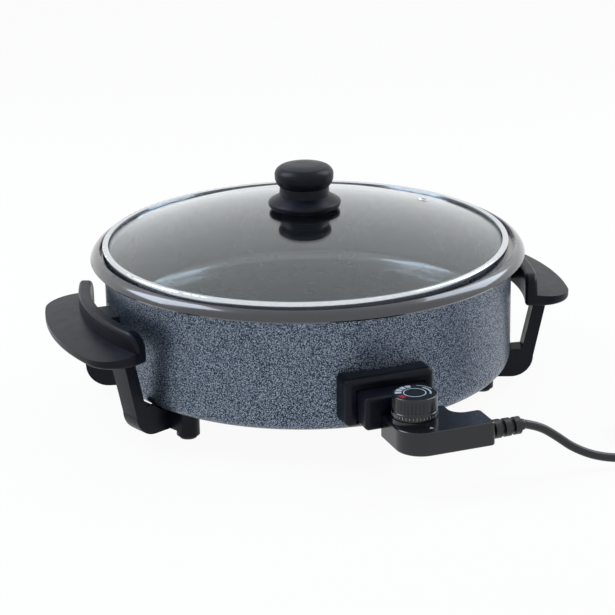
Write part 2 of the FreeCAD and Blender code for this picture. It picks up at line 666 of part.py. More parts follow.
def make_foot_pads():
    """Four heat-proof rubber pads under the feet."""
    pads = []
    for n, (turn, side) in enumerate(((0, 1), (0, -1), (180, 1), (180, -1))):
        x = f"foot_radius_at * cos({turn} + {side} * foot_angle)"
        y = f"foot_radius_at * sin({turn} + {side} * foot_angle)"
        pads.append(solid("Cone", f"pad_{n}", (x, y, "0"), Radius1="pad_radius - pad_rim",
                          Radius2="pad_radius", Height="pad_thick"))
    node(group("foot_pad_set", *pads), "foot_pads")


RISE = "(glass_apex - glass_edge_height)"
SPHERE = f"((glass_radius^2 + {RISE}^2) / (2 * {RISE}))"


def on_lid(label, body):
    """Slide a finished lid piece sideways by the lid's play in its seat."""
    body.Placement = Placement(Vector(size("lid_shift"), 0, 0), Rotation())
    drive(body, **{"Placement.Base.x": "lid_shift"})
    doc.recompute()


def vent_spot():
    """Place of the vent on the dome and the outward direction there."""
    sphere, across = size(SPHERE), size("vent_across")
    turn = math.radians(size("vent_angle"))
    centre = Vector(size("lid_shift"), 0, size("glass_apex") - sphere)
    outward = Vector(across * math.cos(turn), across * math.sin(turn),
                     math.sqrt(sphere ** 2 - across ** 2)) / sphere
    return centre + outward * sphere, outward


def make_lid_glass():
    """Domed glass with a knob hole at the top and a vent hole towards the back."""
    x, z = "lid_shift", f"glass_apex - {SPHERE}"
    outer = solid("Sphere", "glass_outer", (x, "0", z), Radius=SPHERE)
    inner = solid("Sphere", "glass_inner", (x, "0", z), Radius=f"{SPHERE} - glass_thick")
    edge = rod("glass_edge", "glass_radius", "100", (x, "0", "glass_edge_height - glass_thick - 3"))
    blank = doc.addObject("Part::Common", "glass_blank")
    blank.Base, blank.Tool = cut("glass_shell", outer, inner), edge
    knob_hole = rod("glass_knob_hole", "knob_hole", "80", (x, "0", "glass_apex - 40"))
    spot, outward = vent_spot()
    start = spot - outward * 20
    vent = rod("glass_vent_hole", "vent_hole + vent_wall + 0.1", "40",
               (f"{start.x}", f"{start.y}", f"{start.z}"), outward)
    node(cut("lid_glass", blank, fuse("glass_holes", knob_hole, vent)), "lid_glass")


def make_band():
    """Rolled steel band round the glass edge; it rests on the pan's seat."""
    band = new_body("lid_band")
    low = "rim_height - seat_depth + 0.3"
    slope = "glass_edge_height + 1.5"
    spin(band, [
        ("band_inner", low), ("band_outer", low), ("band_outer", "band_high - 1"),
        ("band_outer - 2.6", "band_high + 0.3", "band_outer - 0.8", "band_high"),
        ("band_inner", f"{slope} + band_sheet + 0.9"), ("band_inner", f"{slope} + 0.3"),
        ("glass_radius + 0.3", "glass_edge_height + 0.6"),
        ("glass_radius + 0.3", f"{low} + band_sheet - 0.3"), ("band_inner", f"{low} + band_sheet - 0.3"),
    ])
    on_lid("lid_band", band)


def make_knob():
    """Moulded heat-proof knob: wide skirt, narrow neck and a domed cap, with a blind core hole."""
    knob = new_body("knob")
    base = "glass_apex + knob_gap"
    tall = f"{base} + knob_height"
    spin(knob, [
        ("lid_screw_radius", base), ("knob_skirt - 5", base),
        ("knob_skirt", f"{tall} * 0.095", "knob_skirt - 1.2", f"{tall} * 0.03"),
        ("knob_skirt - 2", f"{tall} * 0.17", "knob_skirt - 0.4", f"{tall} * 0.14"),
        ("knob_neck + 0.4", f"{tall} * 0.29", "knob_neck + 5", f"{tall} * 0.232"),
        ("knob_neck", f"{tall} * 0.5"),
        ("knob_cap", f"{tall} * 0.74", "knob_neck + 3.4", f"{tall} * 0.6"),
        ("knob_cap - 1.4", f"{tall} * 0.88", "knob_cap - 0.1", f"{tall} * 0.82"),
        ("knob_cap - 8", f"{tall} * 0.97", "knob_cap - 4.2", f"{tall} * 0.94"),
        ("knob_cap / 3", tall, "knob_cap / 2", f"{tall} * 0.994"),
        ("0", tall), ("0", f"{tall} * 0.55"), ("lid_screw_radius", f"{tall} * 0.55"),
    ])
    on_lid("knob", knob)


def make_knob_fixing():
    """Screw, steel washer and silicone seal that clamp the knob through the glass."""
    under = "glass_apex - glass_thick"
    parts = (("knob_seal", "lid_seal", "lid_seal_thick", f"{under} - lid_seal_thick - 0.4"),
             ("knob_washer", "lid_washer", "lid_washer_thick",
              f"{under} - lid_seal_thick - lid_washer_thick - 0.4"))
    for label, radius, thick, low in parts:
        disc = rod(f"{label}_disc", radius, thick, ("lid_shift", "0", low))
        hole = rod(f"{label}_hole", "lid_screw_radius", thick, ("lid_shift", "0", low))
        node(cut(label, disc, hole), label)
    low = f"{under} - lid_seal_thick - lid_washer_thick - 0.4"
    head = rod("lid_screw_head_disc", "lid_screw_head", "3", ("lid_shift", "0", f"{low} - 3"))
    shank = rod("lid_screw_shank", "lid_screw_radius", f"glass_apex + knob_height * 0.45 - ({low})",
                ("lid_shift", "0", low))
    node(fuse("knob_screw", head, shank), "knob_screw")


def make_vent():
    """Steel eyelet in the glass that lets steam out, square to the dome."""
    eyelet = new_body("vent_eyelet")
    spin(eyelet, [
        ("vent_hole", "0 - glass_thick - 0.9"), ("vent_hole + vent_wall", "0 - glass_thick - 0.9"),
        ("vent_hole + vent_wall", "0.15"), ("vent_flange", "0.15"),
        ("vent_flange - 0.4", "0.15 + vent_flange_thick"), ("vent_hole", "0.15 + vent_flange_thick"),
    ])
    spot, outward = vent_spot()
    eyelet.Placement = Placement(spot, Rotation(Vector(0, 0, 1), outward))
    doc.recompute()


def plan(grow, right_grow=None):
    """Plan outline of the control's casing, moved in by an amount all round."""
    g = grow
    return [
        (f"-case_left + {g}", f"-case_back - {g}"),
        (f"-case_left + {g}", f"-case_front + case_corner"),
        (f"-case_left + case_corner", f"-case_front + {g}",
         f"-case_left + case_corner - (case_corner - {g}) * 0.7071",
         f"-case_front + case_corner - (case_corner - {g}) * 0.7071"),
        (f"tail_end - {g}", f"-case_front + {g}"),
        (f"tail_end - {g}", f"-case_inner - {g}"),
        (f"case_right + case_inner_corner", f"-case_inner - {g}"),
        (f"case_right - {g}", f"-case_inner + case_inner_corner",
         f"case_right + case_inner_corner - (case_inner_corner + {g}) * 0.7071",
         f"-case_inner + case_inner_corner - (case_inner_corner + {g}) * 0.7071"),
        (f"case_right - {g}", f"-case_back - {g}"),
    ]


SCREW_SPOTS = (("tail_end - 8", "-case_front + 8"), ("tail_end - 8", "-case_inner - 8"),
               ("-case_left + 6", "-case_back - 6"))


def make_casings():
    """Two half shells of the heat control, split level, with the dial's collar on the upper one."""
    lower = new_body("control_base_blank")
    NODES.pop()
    corners = upright_at((("tail_end", "-case_front"), ("tail_end", "-case_inner")))
    pad(lower, plan("0"), "case_low", "case_split", "tray")
    round_edges(lower, "tail_corner", corners, "tail_corners")
    low = size("case_low")
    round_edges(lower, "case_edge", lambda e: all(abs(v.Point.z - low) < 0.01 for v in e.Vertexes),
                "under_edge")
    pocket(lower, plan("case_wall"), "case_low + case_wall", "case_split + 1")
    notch = rod("relief_notch_low", "relief_neck + 0.1", "20", ("tail_end - 10", "-relief_at_y",
                "relief_height"), Vector(1, 0, 0))
    holes = [rod(f"case_hole_{n}", "case_screw_radius", "30", (x, y, "case_low - 5"))
             for n, (x, y) in enumerate(SCREW_SPOTS)]
    node(cut("control_base", lower, fuse("base_tools", notch, *holes)), "control_base")
    upper = new_body("control_cover_blank")
    NODES.pop()
    pad(upper, plan("0"), "case_split", "case_high", "lid")
    round_edges(upper, "tail_corner", corners, "tail_corners")
    high = size("case_high")
    round_edges(upper, "case_edge", lambda e: all(abs(v.Point.z - high) < 0.01 for v in e.Vertexes),
                "top_edge")
    pocket(upper, plan("case_wall"), "case_split - 1", "case_high - case_wall")
    collar = rod("dial_collar", "collar_radius", "dial_low - case_high - 0.6 + case_wall / 2",
                 ("dial_at_x", "-dial_at_y", "case_high - case_wall / 2"))
    shelled = fuse("cover_with_collar", upper, collar)
    bore = rod("dial_bore", "dial_bore", "60", ("dial_at_x", "-dial_at_y", "case_split - 5"))
    notch = rod("relief_notch_high", "relief_neck + 0.1", "20", ("tail_end - 10", "-relief_at_y",
                "relief_height"), Vector(1, 0, 0))
    node(cut("control_cover", shelled, fuse("cover_tools", bore, notch)), "control_cover")
    screws = []
    for n, (x, y) in enumerate(SCREW_SPOTS):
        head = rod(f"case_head_{n}", "case_screw_radius * 1.7", "1.6", (x, y, "case_low + case_wall"))
        shank = rod(f"case_shank_{n}", "case_screw_radius - 0.1", "case_high - case_low - case_wall * 2",
                    (x, y, "case_low + case_wall"))
        screws.append(fuse(f"case_screw_{n}", head, shank))
    node(group("control_screws", *screws), "control_screws")


def make_nose():
    """Heat-proof collar of the control that enters the socket and carries probe and sockets."""
    outer = block("nose_outer", ("-nose_left", "-nose_front", "nose_low"),
                  ("nose_right", "-nose_into", "nose_high"))
    doc.recompute()
    soft = doc.addObject("Part::Fillet", "nose_softened")
    soft.Base = outer
    radius, face = size("nose_round"), size("-nose_front")
    soft.Edges = [(i, radius, radius) for i, e in enumerate(outer.Shape.Edges, start=1)
                  if min(v.Point.y for v in e.Vertexes) < face + 0.01]
    hollow = block("nose_hollow", ("-nose_left + case_wall", "-nose_front + case_wall",
                                   "nose_low + case_wall"),
                   ("nose_right - case_wall", "-nose_into + 5", "nose_high - case_wall"))
    port = rod("nose_port_probe", "probe_diameter / 2", "20", ("0", "-nose_front + 10", "probe_z"),
               Vector(0, -1, 0))
    node(cut("control_nose", soft, fuse("nose_tools", hollow, port)), "control_nose")


def make_probe():
    """Steel heat probe, the two sockets for the pins and the thermostat behind the nose."""
    doc.recompute()
    node(rod("probe_rod", "probe_diameter / 2", "nose_front - probe_reach", ("0", "-probe_reach",
         "probe_z"), Vector(0, -1, 0)), "probe_rod")
    sockets = []
    wide = "pin_diameter / 2 + socket_wall + fit_gap"
    for n, x in enumerate(("pin_spacing / 2", "-pin_spacing / 2")):
        start = "-nose_front + case_wall + socket_length"
        tube = rod(f"socket_tube_{n}", wide, "socket_length", (x, start, "probe_z"),
                   Vector(0, -1, 0))
        bore = rod(f"socket_bore_{n}", "pin_diameter / 2 + fit_gap", "socket_length - socket_wall",
                   (x, start, "probe_z"), Vector(0, -1, 0))
        sockets.append(cut(f"terminal_socket_{n}", tube, bore))
    node(group("terminal_sockets", *sockets), "terminal_sockets")
    x0, y0 = "dial_at_x - frame_width / 2", "-dial_at_y - frame_length / 2"
    plate = block("frame_plate", (x0, y0, "case_high - case_wall - 1.4 - frame_thick"),
                  ("dial_at_x + frame_width / 2", "-dial_at_y + frame_length / 2",
                   "case_high - case_wall - 1.4"))
    hole = rod("frame_hole", "dial_bore", "30", ("dial_at_x", "-dial_at_y", "case_split"))
    cheeks = [block(f"frame_cheek_{n}", (a, y0, "case_low + case_wall + 0.1"),
                    (f"{a} + frame_thick", "-dial_at_y + frame_length / 2",
                     "case_high - case_wall - 1.4"))
              for n, a in enumerate((x0, "dial_at_x + frame_width / 2 - frame_thick"))]
    node(cut("thermostat_frame", fuse("frame_folded", plate, *cheeks), hole), "thermostat_frame")
    for n, (label, height) in enumerate((("bimetal_blade", "case_low + 6"),
                                         ("contact_blade", "case_low + 10"))):
        node(block(label, ("dial_at_x - frame_width / 2 + frame_thick", f"-dial_at_y + {8 - 4 * n}", height),
                   ("dial_at_x + frame_width / 2 - frame_thick",
                    f"-dial_at_y + {8 - 4 * n} + blade_width", f"{height} + blade_thick")), label)
    node(rod("contact_points", "contact_radius", "contact_thick",
             ("dial_at_x + 7", "-dial_at_y + 8", "case_low + 10 - contact_thick")), "contact_points")


def make_dial():
    """Fluted dial on its shaft, with a detent spring under it."""
    dial = new_body("dial_blank")
    NODES.pop()
    spin(dial, [
        ("shaft_radius + 0.4", "dial_low"), ("dial_radius + 0.6", "dial_low"),
        ("dial_radius + 0.6", "dial_low + 5"), ("dial_radius", "dial_low + 5.6"),
        ("dial_radius", "dial_high - dial_top_round"),
        ("dial_radius - dial_top_round", "dial_high",
         "dial_radius - dial_top_round * 0.293", "dial_high - dial_top_round * 0.293"),
        ("0", "dial_high"), ("0", "dial_high - 3"), ("shaft_radius + 0.4", "dial_high - 3"),
    ])
    flutes = [rod(f"flute_{n}", "dial_flute", "dial_high - dial_low - 8 - dial_top_round",
                  (f"(dial_radius + dial_flute * 0.35) * cos({n} * 360 / {int(size('dial_flutes'))})",
                   f"(dial_radius + dial_flute * 0.35) * sin({n} * 360 / {int(size('dial_flutes'))})",
                   "dial_low + 7")) for n in range(int(size("dial_flutes")))]
    node(cut("dial", dial, fuse("dial_flute_set", *flutes)), "dial",
         Placement(Vector(size("dial_at_x"), -size("dial_at_y"), 0), Rotation()))
    node(rod("dial_shaft", "shaft_radius", "dial_high - 3 - (case_split - 2)",
             ("dial_at_x", "-dial_at_y", "case_split - 2")), "dial_shaft")
    seat = "case_high - case_wall - 1.3"
    place = ("dial_at_x", "-dial_at_y", seat)
    disc = rod("detent_disc", "spring_radius + spring_wire", "spring_wire", place)
    hole = rod("detent_hole", "shaft_radius + 0.3", "spring_wire", place)
    node(cut("detent_spring", disc, hole), "detent_spring")


def make_relief():
    """Ribbed rubber sleeve that keeps the lead from kinking at the casing."""
    relief = new_body("strain_relief")
    core = "cord_diameter / 2 + 0.05"
    points = [(core, "0"), ("relief_neck", "0"), ("relief_neck", "3")]
    step = "(relief_length - 5) / relief_ribs"
    for n in range(int(size("relief_ribs"))):
        base = f"3 + {n} * {step}"
        top = f"relief_radius - {n} * 0.3"
        points += [(top, f"{base} + 0.4"), (top, f"{base} + {step} * 0.66"),
                   ("relief_neck + 0.3", f"{base} + {step} * 0.7"),
                   ("relief_neck + 0.3", f"{base} + {step}")]
    points += [(f"{core} + 0.5", "relief_length"), (core, "relief_length")]
    spin(relief, points)
    relief.Placement = Placement(Vector(size("tail_end"), -size("relief_at_y"), size("relief_height")),
                                 Rotation(Vector(0, 0, 1), Vector(1, 0, 0)))
    doc.recompute()


def rounded_route(points):
    """Straight runs joined by tangent arcs, each arc as large as its two runs allow."""
    edges, radii = [], []
    here = points[0]
    for i in range(1, len(points) - 1):
        back, ahead = points[i - 1] - points[i], points[i + 1] - points[i]
        shorter = min(back.Length, ahead.Length)
        half = (math.pi - back.getAngle(ahead)) / 2
        radius = 0.45 * shorter / math.tan(half)
        radii.append(radius)
        u, v = back.normalize(), ahead.normalize()
        enter, leave = points[i] + u * (0.45 * shorter), points[i] + v * (0.45 * shorter)
        inward = (u + v).normalize()
        middle = points[i] + inward * (radius / math.cos(half) - radius)
        edges.append(Part.LineSegment(here, enter).toShape())
        edges.append(Part.Arc(enter, middle, leave).toShape())
        here = leave
    edges.append(Part.LineSegment(here, points[-1]).toShape())
    return Part.Wire(edges), radii


def make_tube(label, points):
    """Free stretch of the lead along its route; prints its bend radii and checks its volume."""
    path, radii = rounded_route(points)
    tube = pipe(path, size("cord_diameter / 2"))
    ideal = math.pi * size("cord_diameter / 2") ** 2 * path.Length
    print(f"{label}: {path.Length:.1f} mm, radii {[round(r) for r in radii]}, "
          f"volume ratio {tube.Volume / ideal:.4f}")
    return shaped(label, tube)


def coil_radius_height(turns_done):
    """Radius and height of the coil's centre line: in on the floor layer, out on the upper one."""
    turns, step = size("coil_turns"), size("coil_step")
    half = turns / 2
    inward = min(turns_done, turns - turns_done)
    radius = size("coil_radius") + step * half / 2 - step * inward
    low = size("coil_lift + cord_diameter / 2")
    climb = min(max((turns_done - half + 0.25) / 0.5, 0), 1)
    return radius, low + step * climb


def coil_point(turns_done):
    radius, height = coil_radius_height(turns_done)
    angle = 2 * math.pi * turns_done - math.pi / 2
    return Vector(size("coil_at_x") + radius * math.cos(angle),
                  -size("coil_at_y") + radius * math.sin(angle), height)


def make_coil():
    """Put-away part of the lead: four turns in two layers, one unbroken tube."""
    steps = int(size("coil_turns") * 12)
    line = Part.BSplineCurve()
    line.interpolate([coil_point(size("coil_turns") * i / steps) for i in range(steps + 1)])
    straight = size("cord_diameter")
    start, stop = line.StartPoint, line.EndPoint
    along = line.tangent(line.FirstParameter)[0]
    away = line.tangent(line.LastParameter)[0]
    first, last = start - along * straight, stop + away * straight
    pieces = [Part.LineSegment(first, start)] + line.toBiArcs(0.02) + [Part.LineSegment(stop, last)]
    path = Part.Wire([piece.toShape() for piece in pieces])
    tube = pipe(path, size("cord_diameter / 2"))
    count = 1600
    samples = [coil_point(size("coil_turns") * i / count) for i in range(count + 1)]
    near = int(4 * straight / (path.Length / count))
    least = min(samples[i].distanceToPoint(samples[j])
                for i in range(0, count, 4) for j in range(i + near, count + 1, 3))
    print(f"cord_coil: {path.Length:.1f} mm, least gap {least - straight:.2f} mm")
    shaped("cord_coil", tube)
    return first, along, last, away


def make_tie():
    """Twist-tie band round the coil's bundle."""
    reach = "(coil_step * coil_turns / 4 + cord_diameter / 2 + tie_clear)"
    tall = "(coil_step + cord_diameter + tie_clear)"
    low = "(coil_lift - tie_clear / 2)"
    x = "(coil_at_x + coil_radius)"
    outer = block("tie_outer", (f"{x} - {reach} - tie_thick", "-coil_at_y - tie_width / 2", f"{low} - tie_thick"),
                  (f"{x} + {reach} + tie_thick", "-coil_at_y + tie_width / 2", f"{low} + {tall} + tie_thick"))
    inner = block("tie_inner", (f"{x} - {reach}", "-coil_at_y - tie_width", low),
                  (f"{x} + {reach}", "-coil_at_y + tie_width", f"{low} + {tall}"))
    node(cut("coil_tie", outer, inner), "coil_tie")


def make_plug(entry):
    """Moulded two-pin plug that lies beside the coil."""
    body = new_body("plug_body")
    core = "plug_neck_length"
    spin(body, [
        ("0", "0"), ("cord_diameter / 2 + 1", "0"), ("plug_neck", core),
        ("plug_radius", f"{core} + 9", "plug_neck + 6", f"{core} + 2.5"),
        ("plug_radius", f"{core} + plug_length"), ("0", f"{core} + plug_length"),
    ])
    lie = Placement(entry, Rotation(Vector(0, 0, 1), Vector(1, 0, 0)))
    body.Placement = lie
    doc.recompute()
    face = f"{entry.x} + plug_neck_length + plug_length"
    pins = [rod(f"plug_pin_{n}", "plug_pin_radius", "plug_pin_length",
                (face, f"{entry.y} + {side} * plug_pin_spacing / 2", f"{entry.z}"), Vector(1, 0, 0))
            for n, side in enumerate((1, -1))]
    node(group("plug_pins", *pins), "plug_pins")


def make_lead():
    """Mains lead from the control to its coil and on to the plug."""
    first, along, last, away = make_coil()
    make_tie()
    exit_x = size("tail_end + relief_length")
    y, z, floor = -size("relief_at_y"), size("relief_height"), first.z
    lead = [Vector(exit_x, y, z), Vector(exit_x + 14, y, z - 4), Vector(exit_x + 30, y - 2, z - 15),
            Vector(exit_x + 47, y - 7, z - 29), Vector(exit_x + 72, y - 14, floor + 3.5),
            first - along * 52 + Vector(0, 1.5, 0), first - along * 25, first]
    make_tube("cord_lead", lead)
    run = size("tail_run")
    rise = size("plug_radius") + 0.3
    drift = Vector(0, -1.4, 0)
    middle = last + away * (2 * run) + drift
    middle.z = rise
    entry = middle + Vector(run, 0, 0)
    make_tube("cord_tail", [last, last + away * run, middle, entry])
    make_plug(entry)


def check_and_export():
    """Stop if anything failed, then write one STEP file for each sub-part."""
    doc.recompute()
    for thing in doc.Objects:
        if "Invalid" in thing.State or "Error" in thing.State:
            raise RuntimeError(f"{thing.Name} failed: {thing.State}")
    os.makedirs("parts", exist_ok=True)
    for thing in NODES:
        shape = thing.Shape
        if shape.isNull() or not shape.isValid() or not shape.Solids:
            raise RuntimeError(f"{thing.Label} has no valid solid")
        shape.exportStep(f"parts/{thing.Label}.step")
        print(f"{thing.Label}: {len(shape.Solids)} solid(s), {shape.Volume:.0f} mm3")


make_pan()
make_shell()
make_base_fixing()
make_element()
make_probe_sleeve()
make_shroud()
for side, turn in (("right", 0), ("left", 180)):
    make_handle(f"handle_{side}", turn)
    make_handle_fixings(f"handle_{side}", turn)
make_foot_pads()
make_lid_glass()
make_band()
make_knob()
make_knob_fixing()
make_vent()
make_casings()
make_nose()
make_probe()
make_dial()
make_relief()
make_lead()
check_and_export()
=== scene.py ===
# %% [markdown]
# The skillet is a pan with a lid, two handles and a plug-in heat control on a mains lead. Its bodies
# come from the imported frame, in metres and already in place, so they could be used bare. Here they
# are dressed instead: each surface gets its finish, the lead becomes one smooth curve, and the dial
# is printed.

# %% Load the frame
import bpy
import math
from mathutils import Matrix, Vector


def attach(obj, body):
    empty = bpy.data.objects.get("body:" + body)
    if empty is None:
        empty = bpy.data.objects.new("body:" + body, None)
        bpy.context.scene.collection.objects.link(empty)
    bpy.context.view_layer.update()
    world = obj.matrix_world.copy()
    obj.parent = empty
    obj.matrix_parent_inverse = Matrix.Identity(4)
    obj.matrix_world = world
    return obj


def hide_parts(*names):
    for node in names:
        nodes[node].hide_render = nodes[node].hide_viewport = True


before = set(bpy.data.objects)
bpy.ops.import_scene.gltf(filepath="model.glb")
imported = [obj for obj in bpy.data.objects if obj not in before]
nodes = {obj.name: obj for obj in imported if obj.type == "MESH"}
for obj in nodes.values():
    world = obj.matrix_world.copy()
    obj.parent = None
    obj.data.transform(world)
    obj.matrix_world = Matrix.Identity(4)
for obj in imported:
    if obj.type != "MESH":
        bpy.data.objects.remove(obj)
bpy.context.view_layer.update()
MM = 0.001


# %% [markdown]
# The photograph was taken from a little above the rim with a long lens. A camera could be dragged
# into place by eye; this one was solved from the rim, lip and base curves, so its distance, its
# angles and its roll are real values. The field of view follows from the lens and a 36 mm sensor.

# %% Camera
FOCAL_PIXELS = 2160
PICTURE_WIDTH = 615
SENSOR_WIDTH = 36
RIM_HEIGHT = 0.150
DISTANCE = 2.094
AROUND = math.radians(-20.5)
ABOVE = math.radians(17.71)
PITCH = math.radians(19.48)
YAW = math.radians(-0.03)
ROLL = math.radians(-1.11)


def add_camera():
    """Camera at the solved place, looking a little below the rim's centre."""
    data = bpy.data.cameras.new("product_camera")
    data.sensor_width = SENSOR_WIDTH
    data.lens = FOCAL_PIXELS / PICTURE_WIDTH * SENSOR_WIDTH
    camera = bpy.data.objects.new("product_camera", data)
    bpy.context.scene.collection.objects.link(camera)
    turn = Matrix.Rotation(AROUND, 3, "Z")
    spot = turn @ Vector((0, -DISTANCE * math.cos(ABOVE), DISTANCE * math.sin(ABOVE)))
    look = turn @ Vector((math.sin(YAW) * math.cos(PITCH), math.cos(YAW) * math.cos(PITCH),
                          -math.sin(PITCH)))
    right = look.cross(Vector((0, 0, 1))).normalized()
    up = right.cross(look)
    rolled_right = right * math.cos(ROLL) + up * math.sin(ROLL)
    rolled_up = up * math.cos(ROLL) - right * math.sin(ROLL)
    axes = Matrix((rolled_right, rolled_up, -look)).transposed().to_4x4()
    camera.matrix_world = Matrix.Translation(spot + Vector((0, 0, RIM_HEIGHT))) @ axes
    bpy.context.scene.camera = camera
    return camera


camera = add_camera()
print("camera at", tuple(round(v, 3) for v in camera.location), "lens", round(camera.data.lens, 1))

# %% [markdown]
# Every finish is a small tree of nodes. They could be wired by hand in the shader editor; in code,
# one function that adds a node with its settings, values and links keeps each material readable.
# Colours are written as sRGB hex codes, as a paint card gives them, and turned to linear here.

# %% Material helpers
def linear(code, alpha=1.0):
    """Linear colour from an sRGB hex code."""
    parts = [int(code[i:i + 2], 16) / 255 for i in (1, 3, 5)]
    return [c / 12.92 if c <= 0.04045 else ((c + 0.055) / 1.055) ** 2.4 for c in parts] + [alpha]


def lighter(code, by):
    """Hex code a few steps lighter in every channel."""
    return "#" + "".join(f"{min(255, int(code[i:i + 2], 16) + by):02x}" for i in (1, 3, 5))


def add_node(tree, kind, links=None, sockets=None, stops=(), **settings):
    """Add a node with its settings, socket values, incoming links and any colour stops."""
    made = tree.nodes.new("ShaderNode" + kind)
    for name, value in settings.items():
        setattr(made, name, value)
    for name, value in (sockets or {}).items():
        made.inputs[name].default_value = value
    for name, source in (links or {}).items():
        tree.links.new(getattr(source, "outputs", [source])[0], made.inputs[name])
    for number, (where, code) in enumerate(stops):
        elements = made.color_ramp.elements
        element = elements[number] if number < 2 else elements.new(where)
        element.position = where
        element.color = linear(code)
    return made


def new_material(name, **sockets):
    """Material with one Principled surface whose constant values sit on its own sockets."""
    material = bpy.data.materials.new(name)
    material.use_nodes = True
    surface = material.node_tree.nodes["Principled BSDF"]
    for label, value in sockets.items():
        surface.inputs[label.replace("_", " ")].default_value = value
    place = add_node(material.node_tree, "TexCoord").outputs["Object"]
    return material, material.node_tree, surface, place


def connect(tree, surface, **sources):
    """Link the first output of each node to the surface's socket of that name."""
    for label, source in sources.items():
        tree.links.new(source.outputs[0], surface.inputs[label.replace("_", " ")])


def per_metre(size_mm):
    """Pattern scale for features of a size in millimetres."""
    return 1 / (size_mm * MM)


print("helpers ready")

# %% [markdown]
# The body's paint is hammertone: its silicone pulls aluminium flake into small islands as it dries,
# so bright worms stand on a dark ground. A photograph of the paint could be wrapped round it; a
# cell pattern bent by noise is used instead, because it has no seam and keeps its real size.

# %% Hammertone paint
# Spacing of the cells; neighbours run together to islands of about 1.5 mm
GRAIN_MM = 1.1
WARP_MM = 1.2 * GRAIN_MM
FLECK_MM = 0.6
FLECK_SHARE = 0.55


def hammertone():
    """Stoved metallic paint: a soft metal gleam from the flake under a thin clear skin."""
    material, tree, surface, place = new_material(
        "hammertone_stoved_paint", Metallic=0.75, Roughness=0.3, Coat_Weight=0.2, Coat_Roughness=0.2)
    warp = add_node(tree, "TexNoise", links={"Vector": place},
                    sockets={"Scale": per_metre(WARP_MM), "Detail": 1.0})
    push = add_node(tree, "VectorMath", operation="MULTIPLY_ADD",
                    links={0: warp.outputs["Color"], 2: place}, sockets={1: (GRAIN_MM * MM,) * 3})
    cells = add_node(tree, "TexVoronoi", links={"Vector": push}, feature="F1",
                     sockets={"Scale": per_metre(GRAIN_MM)})
    fleck = add_node(tree, "TexNoise", links={"Vector": place},
                     sockets={"Scale": per_metre(FLECK_MM), "Detail": 1.0})
    height = add_node(tree, "Math", operation="MULTIPLY_ADD", links={0: fleck, 2: cells},
                      sockets={1: FLECK_SHARE})
    colour = add_node(tree, "ValToRGB", links={"Fac": height},
                      stops=[(0.35, "#c9d5e2"), (0.95, "#202935"), (0.66, "#66758a")])
    rough = add_node(tree, "MapRange", links={"Value": cells},
                     sockets={"From Min": 0.2, "From Max": 0.8, "To Min": 0.3, "To Max": 0.5})
    raised = add_node(tree, "MapRange", links={"Value": height},
                      sockets={"From Min": 0.3, "From Max": 1.0, "To Min": 1.0, "To Max": 0.0})
    bump = add_node(tree, "Bump", links={"Height": raised},
                    sockets={"Strength": 0.6, "Distance": 0.12 * MM})
    connect(tree, surface, Base_Color=colour, Roughness=rough, Normal=bump)
    return material


paint = hammertone()
print("made", paint.name)

# %% [markdown]
# The pan is drawn aluminium with a sprayed, fired non-stick coat, blue-black and glossy. One flat
# colour would look like plastic, so the colour drifts a little in clouds, and the faint orange-peel
# wave that spraying leaves softens the reflections. A clear layer on top carries the gloss.

# %% Fired non-stick coat
CLOUD_MM = 30
PEEL_MM = 1.8


def fired_coat():
    """Sprayed and fired coat: glossy, with reflections that waver slightly."""
    material, tree, surface, place = new_material(
        "fired_nonstick_coat", IOR=1.5, Coat_Weight=1.0, Coat_IOR=1.5, Coat_Roughness=0.06)
    cloud = add_node(tree, "TexNoise", links={"Vector": place},
                     sockets={"Scale": per_metre(CLOUD_MM), "Detail": 2.0})
    peel = add_node(tree, "TexNoise", links={"Vector": place},
                    sockets={"Scale": per_metre(PEEL_MM), "Detail": 2.0})
    colour = add_node(tree, "ValToRGB", links={"Fac": cloud}, stops=[(0.3, "#0d121c"), (0.7, "#141a27")])
    rough = add_node(tree, "MapRange", links={"Value": cloud},
                     sockets={"From Min": 0.3, "From Max": 0.7, "To Min": 0.2, "To Max": 0.3})
    bump = add_node(tree, "Bump", links={"Height": peel},
                    sockets={"Strength": 0.05, "Distance": 0.03 * MM})
    connect(tree, surface, Base_Color=colour, Roughness=rough, Normal=bump)
    return material


coat = fired_coat()
print("made", coat.name)

# %% [markdown]
# Handles, knob, socket and control are compression-moulded phenolic resin. It takes its face from
# the tool, slightly uneven where the powder flowed, and it is never pure black. The control is
# glossier than the rest. Two separate materials could be built; one function with its gloss as an
# argument makes both, so they stay one family.

# %% Moulded phenolic
FLOW_MM = 14
# The filler's real grit is finer; it is drawn this coarse so that it shows
GRIT_MM = 0.7


def phenolic(name, dark, light, rough_low, rough_high, gloss):
    """Moulded phenolic: near-black, with faint flow marks and the fine grit of its filler."""
    material, tree, surface, place = new_material(name, Specular_IOR_Level=gloss, IOR=1.5)
    flow = add_node(tree, "TexNoise", links={"Vector": place},
                    sockets={"Scale": per_metre(FLOW_MM), "Detail": 3.0, "Roughness": 0.6})
    grit = add_node(tree, "TexNoise", links={"Vector": place},
                    sockets={"Scale": per_metre(GRIT_MM), "Detail": 2.0})
    colour = add_node(tree, "ValToRGB", links={"Fac": flow}, stops=[(0.3, dark), (0.7, light)])
    rough = add_node(tree, "MapRange", links={"Value": flow}, sockets={
        "From Min": 0.3, "From Max": 0.7, "To Min": rough_low, "To Max": rough_high})
    bump = add_node(tree, "Bump", links={"Height": grit},
                    sockets={"Strength": 0.18, "Distance": 0.03 * MM})
    connect(tree, surface, Base_Color=colour, Roughness=rough, Normal=bump)
    return material


satin_phenolic = phenolic("phenolic_satin_moulded", "#0d1019", "#151a26", 0.3, 0.4, 0.16)
gloss_phenolic = phenolic("phenolic_gloss_moulded", "#0a0d15", "#11151f", 0.14, 0.2, 0.5)
print("made", satin_phenolic.name, gloss_phenolic.name)

